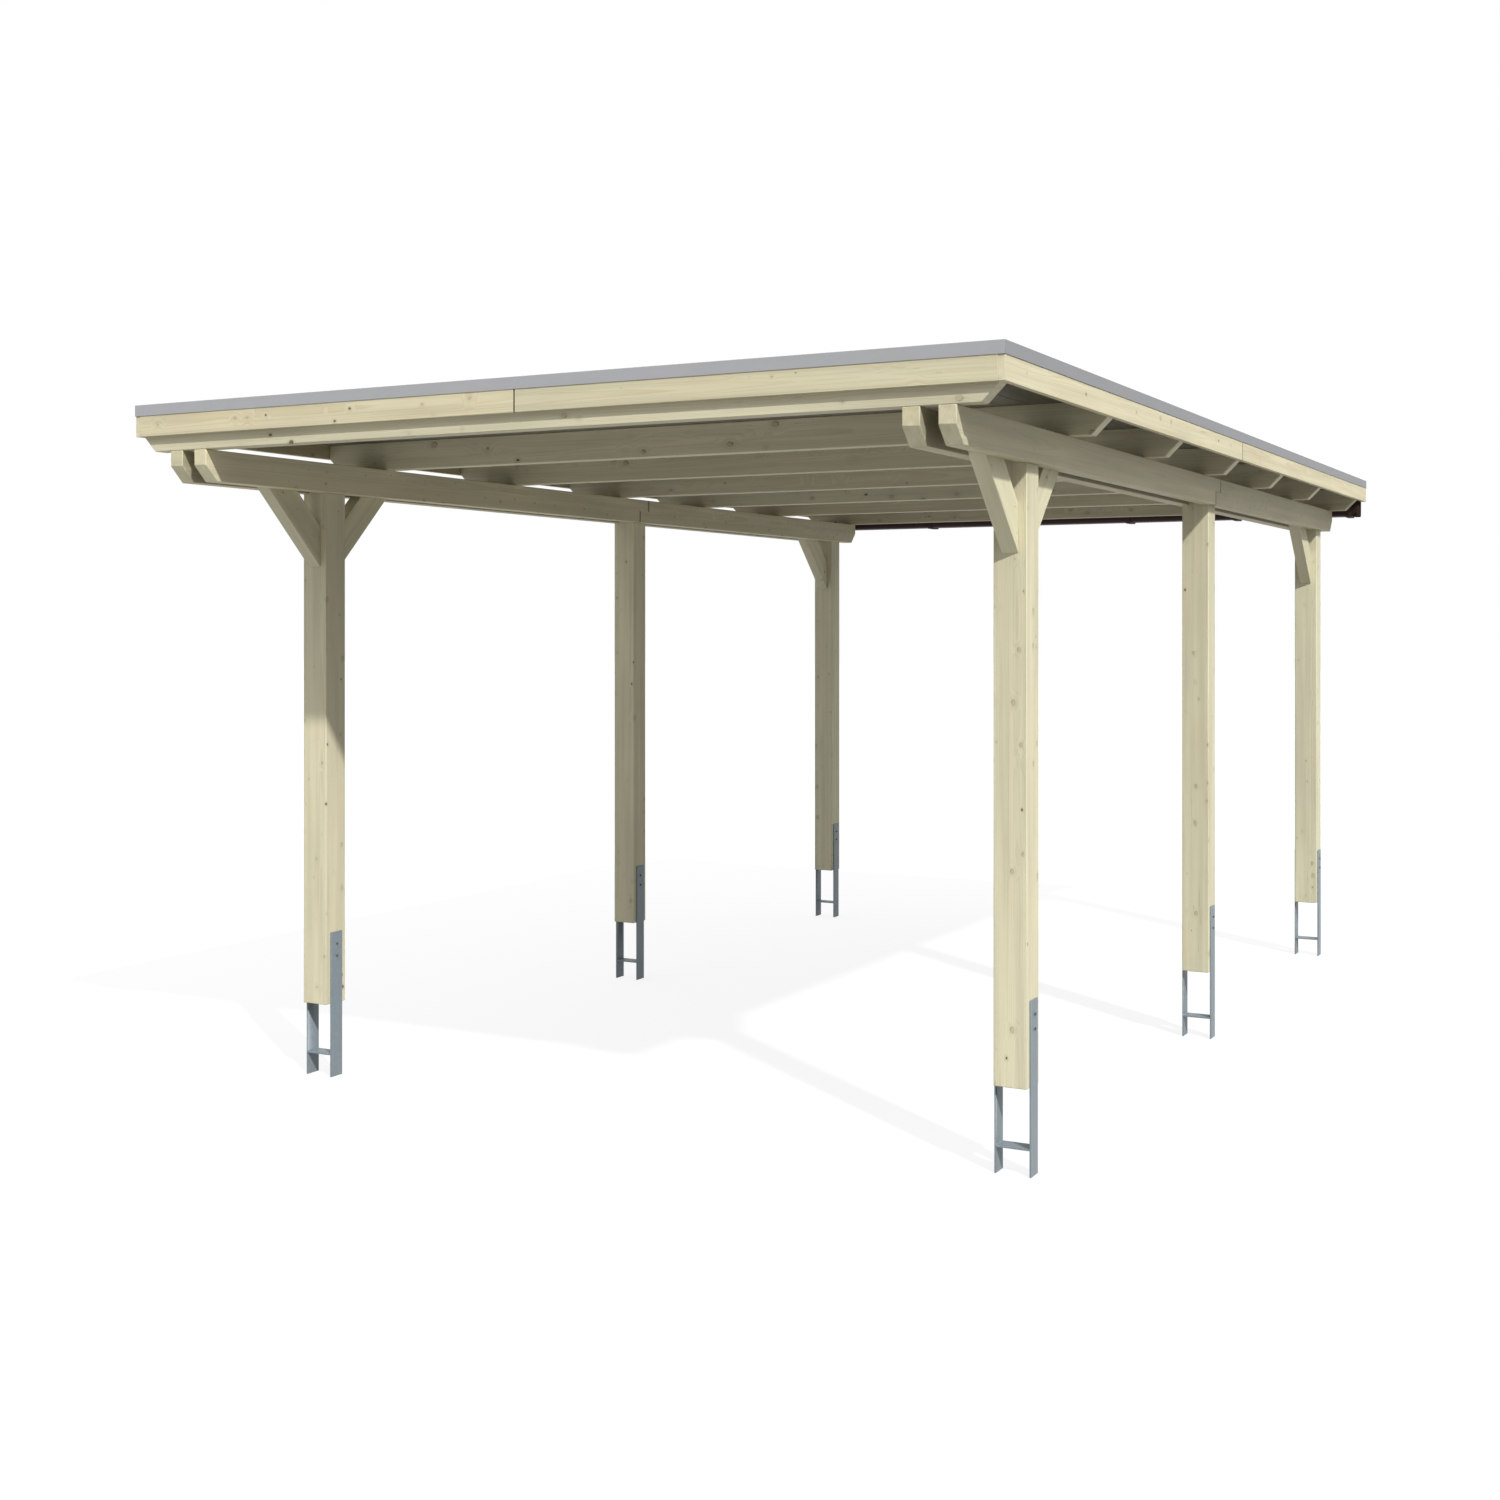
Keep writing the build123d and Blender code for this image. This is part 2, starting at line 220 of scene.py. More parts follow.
class Wiring:
    """Adds nodes to one tree, and links any socket that is given as a value."""

    def __init__(self, tree):
        self.tree = tree

    def node(self, kind, values=None, **settings):
        made = self.tree.nodes.new(kind)
        for name, setting in settings.items():
            setattr(made, name, setting)
        for key, value in (values or {}).items():
            if isinstance(value, bpy.types.NodeSocket):
                self.tree.links.new(value, made.inputs[key])
            else:
                made.inputs[key].default_value = value
        return made

    def first(self, kind, values=None, **settings):
        """What a new node puts out first."""
        return self.node(kind, values, **settings).outputs[0]

    def math(self, operation, *values):
        return self.first("ShaderNodeMath", dict(enumerate(values)), operation=operation)

    def plus(self, *values):
        return functools.reduce(lambda total, value: self.math("ADD", total, value), values)

    def times(self, *values):
        return functools.reduce(lambda product, value: self.math("MULTIPLY", product, value), values)

    def vector(self, operation, *values):
        node = self.node("ShaderNodeVectorMath", dict(enumerate(values)), operation=operation)
        return node.outputs["Value" if operation in ("LENGTH", "DOT_PRODUCT") else "Vector"]

    def scale(self, vector, factor):
        """A vector times one number, or times a number for each axis."""
        if isinstance(factor, tuple):
            return self.vector("MULTIPLY", vector, factor)
        return self.first("ShaderNodeVectorMath", {"Vector": vector, "Scale": factor}, operation="SCALE")

    def parts(self, vector):
        return self.node("ShaderNodeSeparateXYZ", {0: vector}).outputs

    def combine(self, *parts):
        return self.first("ShaderNodeCombineXYZ", dict(enumerate(parts)))

    def noise(self, vector, fineness, detail=2.0, roughness=0.5):
        """Cloudy noise; its fineness is one number or one for each axis."""
        place = self.scale(vector, fineness)
        values = {"Vector": place, "Scale": 1.0, "Detail": detail, "Roughness": roughness}
        return self.first("ShaderNodeTexNoise", values)

    def cells(self, vector, fineness, randomness=1.0):
        """Scattered cells: what their node puts out, and three random numbers for each cell."""
        values = {"Vector": vector, "Scale": fineness, "Randomness": randomness}
        cells = self.node("ShaderNodeTexVoronoi", values).outputs
        return cells, self.node("ShaderNodeSeparateColor", {0: cells["Color"]}).outputs

    def step(self, value, low, high):
        """Nought below low, one above high and smooth between; low above high turns it round."""
        values = {"Value": value, "From Min": low, "From Max": high}
        return self.first("ShaderNodeMapRange", values, interpolation_type="SMOOTHSTEP")

    def spread(self, value, low, high):
        """Carries 0 to 1 over to low to high."""
        return self.first("ShaderNodeMapRange", {"Value": value, "To Min": low, "To Max": high})

    def mix(self, factor, first, second, blend="MIX"):
        values = {0: factor, 6: first, 7: second}
        return self.node("ShaderNodeMix", values, data_type="RGBA", blend_type=blend).outputs[2]

    def shade(self, colour, factor):
        """A colour made lighter or darker by a factor."""
        return self.scale(colour if isinstance(colour, bpy.types.NodeSocket) else colour[:3], factor)

    def tint(self, colour, tint, share=1.0):
        """A colour multiplied by a tint, wholly or by a share."""
        return self.mix(share, colour, opaque(tint), "MULTIPLY")

    def store(self, geometry, name, value, domain):
        """Keeps a vector under a name on each point or instance."""
        values = {"Geometry": geometry, "Name": name, "Value": value}
        return self.first("GeometryNodeStoreNamedAttribute", values, data_type="FLOAT_VECTOR", domain=domain)

    def stored(self, name):
        """The vector that is kept under a name in a geometry tree."""
        return self.first("GeometryNodeInputNamedAttribute", {"Name": name}, data_type="FLOAT_VECTOR")

    def attribute(self, name):
        """The vector that is kept under a name, as a material reads it."""
        return self.node("ShaderNodeAttribute", attribute_name=name).outputs["Vector"]

    def point(self):
        """The place on the piece in metres."""
        return self.node("ShaderNodeTexCoord").outputs["Object"]

    def chance(self, low, high, seed):
        """A random vector for each instance."""
        values = {"Min": low, "Max": high, "Seed": seed}
        return self.first("FunctionNodeRandomValue", values, data_type="FLOAT_VECTOR")

    def put_out(self, geometry, given, result):
        """Ends a geometry tree: its material is set on what it puts out."""
        values = {"Geometry": geometry, "Material": given["Material"]}
        self.tree.links.new(self.first("GeometryNodeSetMaterial", values), result[0])
        return self.tree


def opaque(colour):
    """A colour setting as the four values that a colour socket takes."""
    return (colour[0], colour[1], colour[2], 1.0)


def new_tree(kind, name, inputs, outputs):
    """A node group with sockets by kind and name: its wiring, what it is given and its result."""
    tree = bpy.data.node_groups.new(name, kind)
    for in_out, sockets in (("INPUT", inputs), ("OUTPUT", outputs)):
        for socket_kind, names in sockets.items():
            for socket_name in names:
                tree.interface.new_socket(socket_name, in_out=in_out, socket_type="NodeSocket" + socket_kind)
    w = Wiring(tree)
    return w, w.node("NodeGroupInput").outputs, w.node("NodeGroupOutput").inputs


def spruce_group():
    """Solid spruce: growth rings round the heart of the log, fibres, knots and drying cracks."""
    inputs = {
        "Vector": ("Grain", "Tone", "Cut"),
        "Color": ("Early", "Late", "Knot"),
        "Float": ("Ring Width", "Knot Spacing", "Knot Radius", "Knot Share"),
    }
    w, given, result = new_tree(
        "ShaderNodeTree", "spruce", inputs, {"Color": ("Color",), "Float": ("Roughness", "Height")})
    grain = given["Grain"]
    tone = w.parts(given["Tone"])
    cut = w.parts(given["Cut"])

    # Knots are balls scattered through the wood, a little longer along the stem.
    # Live ones are larger and paler than dead ones
    knot_space = w.vector("DIVIDE", w.scale(grain, (1.0, 1.0, 0.7)), given["Knot Spacing"])
    cells, chance = w.cells(knot_space, 1.0, 0.92)
    live = w.math("GREATER_THAN", chance[2], DEAD_KNOTS)
    present = w.math("LESS_THAN", chance[1], given["Knot Share"])
    size = w.times(w.spread(w.math("POWER", chance[0], 2.2), 0.28, 1.0), w.spread(live, 0.85, 1.45))
    radius = w.times(given["Knot Radius"], size)
    away = w.times(cells["Distance"], given["Knot Spacing"])
    ragged = w.spread(w.noise(grain, (160.0, 160.0, 110.0), 1.0), 0.8, 1.2)
    reach = w.math("DIVIDE", away, radius)
    ragged_reach = w.math("DIVIDE", w.times(away, ragged), radius)
    core = w.times(w.step(ragged_reach, 1.08, 0.86), present)
    rim = w.times(w.step(ragged_reach, 0.62, 0.9), core)
    halo = w.times(w.step(reach, 2.6, 0.9), present)
    swirl = w.times(w.step(reach, 4.5, 0.4), present)
    offset = w.vector("NORMALIZE", w.vector("SUBTRACT", knot_space, cells["Position"]))
    crescent = w.step(w.vector("DOT_PRODUCT", offset, (0.5, 0.6, 0.62)), 0.0, 0.8)
    knot_rings = w.math("SINE", w.times(reach, 17.0))

    # Rings follow the taper and wander of the stem, and swing round the knots
    distance = w.plus(
        w.vector("LENGTH", w.scale(grain, (1.0, 1.0, 0.0))),
        w.times(w.parts(grain)[2], 0.0045),
        w.times(w.noise(grain, (3.5, 3.5, 0.8)), 0.024),
        w.times(w.noise(grain, (28.0, 28.0, 2.6)), 0.0022),
        w.times(swirl, w.times(radius, 0.75)),
    )
    even_rings = w.math("DIVIDE", distance, given["Ring Width"])
    uneven = w.noise(w.combine(even_rings), 0.3, 1.0)
    rings = w.plus(even_rings, w.times(uneven, 3.2))
    phase = w.math("FRACT", rings)
    strength = w.first("ShaderNodeTexWhiteNoise", {"W": w.math("FLOOR", rings)}, noise_dimensions="1D")
    late = w.times(w.step(phase, 0.3, 0.93), w.step(phase, 1.0, 0.94), w.spread(strength, 0.45, 1.0))

    # Fibres, soft streaks along the stem, drying cracks and clouds of pinker and greener wood
    fibre = w.noise(grain, (420.0, 420.0, 7.0))
    streak = w.noise(grain, (34.0, 34.0, 1.1))
    cloud = w.noise(grain, (9.0, 9.0, 2.2))
    blush = w.noise(w.vector("ADD", w.scale(grain, (13.0, 13.0, 3.0)), (7.0, 3.0, 9.0)), 1.0, 1.0)
    crack_line = w.noise(grain, (75.0, 75.0, 1.6), 1.0, 0.4)
    crack = w.step(w.math("ABSOLUTE", w.math("SUBTRACT", crack_line, 0.5)), 0.006, 0.0)
    crack = w.times(crack, w.step(cloud, 0.6, 0.7))

    colour = w.mix(late, given["Early"], given["Late"])
    colour = w.tint(colour, (1.0, 0.93, 0.88), w.times(w.step(blush, 0.45, 0.8), 0.35))
    colour = w.tint(colour, (0.955, 0.99, 0.93), w.times(w.step(blush, 0.5, 0.2), 0.3))
    # A piece's tone is partly random and partly painted light and shade given for each piece
    light = w.plus(
        w.spread(w.step(streak, 0.25, 0.75), 0.92, 1.07),
        w.spread(fibre, -0.05, 0.05),
        w.spread(cloud, -0.12, 0.12),
        w.times(tone[0], TONE_SHARE),
    )
    colour = w.tint(w.shade(colour, light), (1.0, 0.98, 0.96), w.times(w.plus(tone[1], 1.0), 0.5))

    # Colours of the knots and cracks
    halo_tone = w.mix(0.5, given["Late"], given["Knot"])
    colour = w.mix(w.times(halo, w.spread(live, 0.32, 0.15)), colour, halo_tone)
    dead_tone = w.shade(given["Knot"], w.spread(chance[2], 0.8, 1.9))
    live_tone = w.shade(w.mix(0.35, given["Late"], given["Knot"]), w.spread(knot_rings, 0.98, 1.06))
    knot_tone = w.mix(live, dead_tone, w.tint(live_tone, (1.0, 0.93, 0.82)))
    colour = w.mix(w.times(core, w.spread(live, 0.9, 0.55)), colour, knot_tone)
    dark_side = w.times(crescent, w.spread(live, 0.7, 0.5))
    rim_share = w.times(rim, w.math("MAXIMUM", w.spread(live, 0.6, 0.06), dark_side))
    colour = w.mix(rim_share, colour, w.shade(given["Knot"], 0.5))
    colour = w.mix(w.times(crack, 0.5), colour, w.shade(given["Knot"], 0.9))

    # Painted light and shade: a painted highlight on the arrises, slanted cuts painted lighter, end faces in
    # closed joints darkened, and painted shade on sides that face a narrow gap
    colour = w.shade(colour, w.spread(cut[0], 1.0, 1.05))
    colour = w.mix(cut[1], colour, w.tint(w.shade(colour, 1.22), (0.98, 1.0, 1.01)))
    colour = w.shade(colour, w.spread(cut[2], 1.0, 0.22))

    rough = w.plus(w.spread(late, 0.66, 0.56), w.spread(fibre, -0.06, 0.06), w.times(core, -0.18))
    height = w.plus(w.times(late, 0.45), w.times(fibre, 0.35), w.times(core, 0.3), w.times(crack, -1.0))
    for name, socket in (("Color", colour), ("Roughness", rough), ("Height", height)):
        w.tree.links.new(socket, result[name])
    return w.tree


# Materials

def new_material(name, specular=0.5, metallic=0.0):
    """A material with one Principled shader, and its wiring."""
    material = bpy.data.materials.new(name)
    material.use_nodes = True
    shader = material.node_tree.nodes["Principled BSDF"]
    shader.inputs["Specular IOR Level"].default_value = specular
    shader.inputs["Metallic"].default_value = metallic
    return material, Wiring(material.node_tree)


def link_finish(w, colour, roughness, height, depth):
    """Wires colour, roughness and a bump of the given depth in metres to the shader."""
    shader = w.tree.nodes["Principled BSDF"]
    bump = w.first("ShaderNodeBump", {"Height": height, "Distance": depth, "Strength": 1.0})
    for key, socket in (("Base Color", colour), ("Roughness", roughness), ("Normal", bump)):
        w.tree.links.new(socket, shader.inputs[key])


def spruce_material(name, tint=(1.0, 1.0, 1.0), early=None, late=None, changes=None):
    """Planed spruce whose rings and knots come from the piece's own grain attribute."""
    wood = bpy.context.scene.carport_timber
    material, w = new_material(name, specular=0.3)
    values = {
        "Grain": w.attribute("grain"),
        "Tone": w.attribute("tone"),
        "Cut": w.attribute("cut"),
        "Early": opaque([part * share for part, share in zip(early or wood.early, tint)]),
        "Late": opaque([part * share for part, share in zip(late or wood.late, tint)]),
        "Knot": opaque(wood.knot),
        "Ring Width": wood.ring_width,
        "Knot Spacing": wood.knot_spacing,
        "Knot Radius": wood.knot_radius,
        "Knot Share": wood.knot_share,
    }
    values.update(changes or {})
    group = bpy.data.node_groups.get("spruce") or spruce_group()
    spruce = w.node("ShaderNodeGroup", values, node_tree=group).outputs
    link_finish(w, spruce["Color"], spruce["Roughness"], spruce["Height"], 0.4 * MM)
    return material


def zinc_material():
    """Hot dip zinc: dull blue grey with faint flowers, a few runs and a darker cast in places."""
    material, w = new_material("galvanised_steel_finish", specular=0.35, metallic=0.2)
    point = w.point()
    flower = w.cells(point, 95.0)[1][0]
    cloud = w.noise(point, (14.0, 14.0, 7.0), 3.0)
    run = w.noise(point, (130.0, 130.0, 9.0))
    light = w.plus(w.spread(flower, 0.94, 1.06), w.spread(cloud, -0.10, 0.10), w.spread(run, -0.05, 0.05))
    colour = w.shade(bpy.context.scene.carport_metal.zinc, light)
    colour = w.tint(colour, (0.90, 0.98, 0.97), w.step(cloud, 0.5, 0.8))
    rough = w.plus(w.spread(flower, 0.44, 0.58), w.spread(cloud, -0.06, 0.08))
    link_finish(w, colour, rough, w.plus(w.times(run, 0.6), w.times(flower, 0.2)), 0.3 * MM)
    return material


def screw_material(name="dark_zinc_finish", colour=None, metallic=0.6):
    """Dark zinc of the screw heads, or another coating."""
    if name in bpy.data.materials:
        return bpy.data.materials[name]
    material, w = new_material(name, metallic=metallic)
    speck = w.noise(w.point(), 700.0)
    colour = w.shade(colour or bpy.context.scene.carport_metal.screw, w.spread(speck, 0.8, 1.25))
    link_finish(w, colour, w.spread(speck, 0.38, 0.6), speck, 0.2 * MM)
    return material


def trim_material():
    """Coated sheet: a fine orange peel, faint waves of the sheet and a few dull patches."""
    material, w = new_material("trim_metal_finish", specular=0.2)
    point = w.point()
    peel = w.noise(point, 900.0, 1.0)
    wave = w.noise(point, (2.6, 2.6, 9.0))
    patch = w.noise(point, 11.0, 4.0, 0.6)
    light = w.plus(w.spread(patch, 0.955, 1.045), w.spread(wave, -0.03, 0.03))
    # Painted shade: the piece's tone darkens the side trims against the front one
    light = w.times(light, w.parts(w.attribute("tone"))[0])
    colour = w.shade(bpy.context.scene.carport_metal.trim, light)
    colour = w.tint(colour, (1.0, 0.99, 1.0), w.step(wave, 0.4, 0.7))
    link_finish(w, colour, w.spread(patch, 0.54, 0.68), w.plus(w.times(peel, 0.08), wave), 1.2 * MM)
    return material


def felt_material():
    """Bitumen felt under slate granules, with a darker bead along each lap."""
    felt = bpy.context.scene.carport_felt
    material, w = new_material("roofing_felt_finish")
    point = w.point()
    cells, chance = w.cells(point, 520.0)
    cloud = w.noise(point, (1.2, 2.4, 1.0), 4.0, 0.6)
    streak = w.noise(point, (2.0, 14.0, 1.0), 3.0)
    lap = w.parts(w.attribute("lap"))
    colour = w.mix(w.step(chance[0], 0.15, 0.95), opaque(felt.dark_grain), opaque(felt.light_grain))
    light = w.plus(w.spread(cloud, 0.84, 1.16), w.spread(streak, -0.08, 0.08))
    colour = w.shade(colour, w.plus(light, w.times(lap[1], 0.10)))
    colour = w.mix(w.times(lap[0], 0.85), colour, opaque(felt.bitumen))
    link_finish(w, colour, w.spread(lap[0], 0.92, 0.45), cells["Distance"], 1.4 * MM)
    return material


def plastic_material(name, colour, specular):
    """Extruded plastic: faint draw lines along the gutter and a dusty bloom."""
    material, w = new_material(name, specular)
    point = w.point()
    draw = w.noise(point, (0.8, 380.0, 380.0))
    bloom = w.noise(point, 6.0, 4.0, 0.6)
    rough = w.plus(w.spread(bloom, 0.46, 0.62), w.spread(draw, -0.04, 0.04))
    link_finish(w, w.shade(colour, w.spread(bloom, 0.85, 1.3)), rough, draw, 0.1 * MM)
    return material


# Meshes

def new_object(name, data):
    """An object in the scene."""
    made = bpy.data.objects.new(name, data)
    bpy.context.scene.collection.objects.link(made)
    return made


def new_piece(name, mesh, material, slot, *nodes):
    """Puts a finished mesh in the scene, riding on the carport and standing for its solids."""
    piece = new_object(name, mesh)
    if not mesh.materials:
        mesh.materials.append(material)
    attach(piece, BODY)
    if nodes:
        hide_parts(*nodes)
    return piece


def merged_copy(node):
    """An editable copy of a solid's mesh, with its triangles joined into flat faces."""
    mesh = bmesh.new()
    mesh.from_mesh(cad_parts[node].data)
    bmesh.ops.remove_doubles(mesh, verts=mesh.verts, dist=0.01 * MM)
    bmesh.ops.dissolve_limit(
        mesh, angle_limit=math.radians(0.5), verts=mesh.verts, edges=mesh.edges, delimit=set())
    mesh.normal_update()
    return mesh


def soften_edges(mesh, width, segments=2, sharper_than=20.0, longer_than=0.0):
    """Rounds the outward edges, and returns the new faces."""
    limit = math.radians(sharper_than)
    edges = [
        edge for edge in mesh.edges
        if edge.is_manifold and edge.is_convex
        and edge.calc_face_angle(0.0) > limit and edge.calc_length() > longer_than
    ]
    made = bmesh.ops.bevel(
        mesh, geom=edges, offset=width, segments=segments, profile=0.5,
        affect="EDGES", clamp_overlap=True, harden_normals=False)
    for face in made["faces"]:
        face.smooth = True
    return made["faces"]


def shade_smooth(mesh, below):
    """Smooth shading across the edges that turn by less than an angle in degrees."""
    for edge in mesh.edges:
        edge.smooth = edge.calc_face_angle(0.0) < math.radians(below)
    for face in mesh.faces:
        face.smooth = True


def shift_end(mesh, direction, distance):
    """Moves the points that lie farthest in a direction along it."""
    farthest = max(vertex.co.dot(direction) for vertex in mesh.verts)
    for vertex in mesh.verts:
        if vertex.co.dot(direction) > farthest - MM:
            vertex.co += direction * distance


def to_mesh(mesh, name):
    """Ends the editing of a mesh."""
    data = bpy.data.meshes.new(name)
    mesh.to_mesh(data)
    mesh.free()
    return data


def set_vectors(data, name, domain, vectors):
    """Stores one vector for each point or face of a mesh."""
    layer = data.attributes.new(name, "FLOAT_VECTOR", domain)
    layer.data.foreach_set("vector", [part for vector in vectors for part in vector])


def timber(node, along, material, slot, pith_distance, pith_turn=None, joined=0, seam=0.3,
           gap_shade_side=(0, 0, 0), outwards=(0, 0, 0), arris_share=1.0):
    """One planed piece of timber with softened arrises, and grain that runs along it.

    An end that is joined to the next board, up or down the grain, is cut back a little, and the faces
    that look that way by more than seam are darkened. A side that faces a narrow gap gets painted shade,
    and one that looks outwards swells into the trim's air gap. Arrises get a painted highlight, and
    slanted cuts are painted lighter, standing in for the light they would catch from the ground in front."""
    wood = bpy.context.scene.carport_timber
    chance = random.Random(node)
    mesh = merged_copy(node)
    along = Vector(along).normalized()
    if any(outwards):
        shift_end(mesh, Vector(outwards), wood.swell)
    if joined:
        shift_end(mesh, along * joined, -wood.joint_cut)
    soft = soften_edges(mesh, wood.arris * arris_share)
    mesh.faces.index_update()
    arris_faces = {face.index for face in soft if face.is_valid}
    data = to_mesh(mesh, node + "_wood")

    across = Vector((1, 0, 0)) if abs(along.x) < 0.5 else Vector((0, 1, 0))
    upright = along.cross(across)
    low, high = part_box(node)
    centre = (low + high) / 2
    if pith_turn is None:
        turn = chance.uniform(0, 2 * math.pi)
    else:
        turn = pith_turn + chance.uniform(-PITH_TURN, PITH_TURN)
        turn += math.pi if chance.random() < 0.5 else 0.0
    pith = pith_distance * chance.uniform(*PITH_SPREAD)
    start = chance.uniform(0, STEM_LENGTH)
    grain = []
    for vertex in data.vertices:
        offset = vertex.co - centre
        a, b = offset.dot(across), offset.dot(upright)
        radial = a * math.cos(turn) + b * math.sin(turn) + pith
        sideways = b * math.cos(turn) - a * math.sin(turn)
        grain.append((radial, sideways, offset.dot(along) + start))
    set_vectors(data, "grain", "POINT", grain)
    tone = [chance.uniform(-1, 1) for _ in range(3)]
    # Painted light and shade for this piece, on top of its random tone
    tone[0] += PAINTED_LIGHT_SHARES.get(node, 0.0) / TONE_SHARE
    set_vectors(data, "tone", "POINT", [tone] * len(data.vertices))
    # Per face: painted highlight on arrises, slanted cuts painted lighter, closed joints darkened, painted
    # shade on sides that face a narrow gap
    cut = []
    for face in data.polygons:
        end = face.normal.dot(along)
        closed = 1.0 if end * joined > seam else 0.0
        if face.index in arris_faces:
            cut.append((1.0, 0.0, closed))
        else:
            gap_shade = face.normal.dot(Vector(gap_shade_side)) * GAP_PAINTED_SHADE
            cut.append((0.0, 4.0 * end ** 2 * (1.0 - end ** 2), max(closed, gap_shade)))
    set_vectors(data, "cut", "FACE", cut)
    return new_piece(node + "_timber", data, material, slot, node)


def skin_rings(mesh, rings):
    """Joins rings of equally many points into a closed skin, and returns its faces."""
    rings = [[mesh.verts.new(point) for point in ring] for ring in rings]
    faces = []
    for lower, upper in zip(rings, rings[1:]):
        for index in range(len(lower)):
            following = (index + 1) % len(lower)
            faces.append(mesh.faces.new((lower[index], lower[following], upper[following], upper[index])))
    faces.append(mesh.faces.new(rings[0][::-1]))
    faces.append(mesh.faces.new(rings[-1]))
    return faces


def swept_outline(outline, x_low, x_high):
    """A bar across the carport with a closed outline of (y, z) points, smooth where it turns gently."""
    mesh = bmesh.new()
    skin_rings(mesh, [[(x, y, z) for y, z in outline] for x in (x_low, x_high)])
    bmesh.ops.recalc_face_normals(mesh, faces=mesh.faces)
    shade_smooth(mesh, below=40)
    return mesh


def arc(centre, radius, from_degrees, to_degrees, steps=8):
    """Points on a round stretch of an outline."""
    points = []
    for index in range(steps + 1):
        angle = math.radians(from_degrees + (to_degrees - from_degrees) * index / steps)
        points.append((centre[0] + radius * math.cos(angle), centre[1] + radius * math.sin(angle)))
    return points


def join_into(target, source):
    """Adds one editable mesh to another and frees it."""
    data = to_mesh(source, "joining")
    target.from_mesh(data)
    bpy.data.meshes.remove(data)


def turned_shape(levels, points):
    """A shape from (height, reach, sides) levels, where a level is round or has a hexagon's six sides."""
    mesh = bmesh.new()
    rings = []
    for height, corner_reach, sides in levels:
        ring = []
        for index in range(points):
            angle = 2 * math.pi * index / points
            reach = corner_reach
            if sides == 6:
                reach *= math.cos(math.pi / 6) / math.cos(angle % (math.pi / 3) - math.pi / 6)
            ring.append((reach * math.cos(angle), reach * math.sin(angle), height))
        rings.append(ring)
    skin_rings(mesh, rings)
    return mesh


def hexagon_head(flats, height):
    """A hexagon screw head with a chamfered top and a thin flange."""
    corner = flats / math.sqrt(3)
    levels = ((0.0, 1.03, 0), (0.12, 1.03, 0), (0.2, 1.0, 6), (0.86, 1.0, 6), (1.0, 0.84, 6))
    return turned_shape([(rise * height, share * corner, sides) for rise, share, sides in levels], 24)


def round_shape(radius, levels):
    """A low round shape from (height, reach) levels, both as shares of its radius."""
    return turned_shape([(rise * radius, share * radius, 0) for rise, share in levels], 16)


# Geometry Nodes for what repeats

def run_tree(tree, base, values, name):
    """Runs a geometry node tree on a mesh, and returns the result as a plain mesh."""
    carrier = new_object(name + "_carrier", base)
    modifier = carrier.modifiers.new("Nodes", "NODES")
    modifier.node_group = tree
    for item in tree.interface.items_tree:
        if item.in_out == "INPUT" and item.name in values:
            modifier[item.identifier] = values[item.name]
    graph = bpy.context.evaluated_depsgraph_get()
    data = bpy.data.meshes.new_from_object(carrier.evaluated_get(graph), depsgraph=graph)
    data.name = name
    carrier.modifiers.remove(modifier)
    bpy.data.objects.remove(carrier)
    return data


def fixing_tree():
    """Sets one copy of a fixing on each point, turned as the point says and spun at random."""
    inputs = {"Geometry": ("Geometry",), "Object": ("Fixing",), "Material": ("Material",), "Int": ("Seed",)}
    w, given, result = new_tree("GeometryNodeTree", "fixings", inputs, {"Geometry": ("Geometry",)})
    fixing = w.node("GeometryNodeObjectInfo", {"Object": given["Fixing"]}).outputs["Geometry"]
    rotation = w.first("FunctionNodeEulerToRotation", {0: w.stored("turn")})
    values = {"Points": given["Geometry"], "Instance": fixing, "Rotation": rotation}
    placed = w.first("GeometryNodeInstanceOnPoints", values)
    spin = w.chance((0.0, 0.0, 0.0), (0.0, 0.0, 6.28), given["Seed"])
    turned = w.first("GeometryNodeRotateInstances", {"Instances": placed, "Rotation": spin})
    return w.put_out(w.first("GeometryNodeRealizeInstances", {0: turned}), given, result)


def set_fixings(name, shape, places, material):
    """Copies a small steel shape to (point, direction) places, where its own Z looks along the direction."""
    tree = bpy.data.node_groups.get("fixings") or fixing_tree()
    pattern = new_object(name + "_pattern", to_mesh(shape, name + "_pattern"))
    base = bpy.data.meshes.new(name + "_points")
    base.from_pydata([point for point, _ in places], [], [])
    turns = [Vector(direction).to_track_quat("Z", "Y").to_euler() for _, direction in places]
    set_vectors(base, "turn", "POINT", turns)
    values = {"Fixing": pattern, "Material": material, "Seed": len(places)}
    data = run_tree(tree, base, values, name)
    bpy.data.objects.remove(pattern)
    return new_piece(name, data, material, "galvanised_steel")


